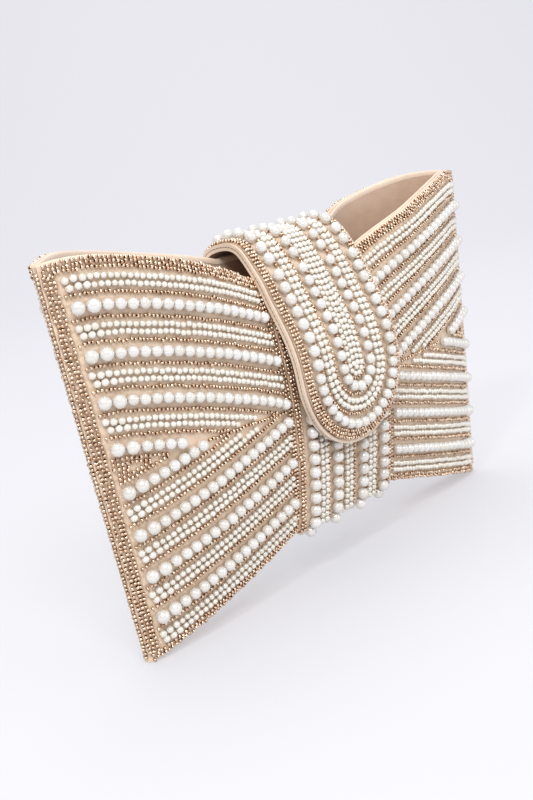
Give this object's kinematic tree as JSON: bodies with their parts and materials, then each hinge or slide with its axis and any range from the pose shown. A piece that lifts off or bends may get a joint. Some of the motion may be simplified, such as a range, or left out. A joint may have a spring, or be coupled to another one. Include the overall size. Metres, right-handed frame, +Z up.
{
  "type": "evening bag",
  "caption": "Bow-shaped beaded satin evening bag: padded panels, open mouth, knot band round the waist and a round-tipped flap closing on a magnetic snap.",
  "frame": {"origin": "centre of the bag's bounding box, at the height of its base corners", "axes": "+X across the width, to the right as seen from the front, +Y towards the back, +Z up to the mouth"},
  "size_m": [0.284, 0.0624, 0.1711],
  "materials": {
    "satin": "champagne duchess satin",
    "binding": "piped satin",
    "lining": "brown satin",
    "padding": "felted wadding",
    "board": "pressed stiffening felt",
    "gilt": "rose gilt",
    "magnet": "nickelled",
    "plate": "plain",
    "pearl": "ivory pearl"
  },
  "bodies": {
    "bag": {"front_satin": "satin", "front_padding": "padding", "front_lining": "lining", "back_satin": "satin", "back_padding": "padding", "back_lining": "lining", "base_strip": "binding", "side_seams": "binding", "front_mouth_binding": "binding", "back_mouth_binding": "binding", "slip_pocket": "lining", "knot_band": "satin", "flap_tail": "satin", "snap_socket": "gilt", "snap_magnet": "magnet", "socket_backplate": "plate", "left_front_pearls": "pearl", "right_front_pearls": "pearl", "left_back_pearls": "pearl", "right_back_pearls": "pearl", "front_band_pearls": "pearl", "back_band_pearls": "pearl"},
    "flap_bridge": {"bridge_satin": "satin", "bridge_board": "board", "bridge_lining": "lining", "bridge_binding": "binding", "bridge_pearls": "pearl"},
    "flap_tongue": {"tongue_satin": "satin", "tongue_board": "board", "tongue_lining": "lining", "tongue_binding": "binding", "tongue_outer_pearls": "pearl", "tongue_inner_pearls": "pearl", "snap_stud": "gilt", "stud_backplate": "plate"}
  },
  "joints": [
    {"name": "bridge_hinge", "type": "hinge", "parent": "bag", "child": "flap_bridge", "pos_m": [0, 0.02513, 0.15464], "axis": [-1, 0, 0], "range_deg": [0, 110]},
    {"name": "tongue_hinge", "type": "hinge", "parent": "flap_bridge", "child": "flap_tongue", "pos_m": [0, -0.01108, 0.14647], "axis": [-1, 0, 0], "range_deg": [0, 90]}
  ]
}
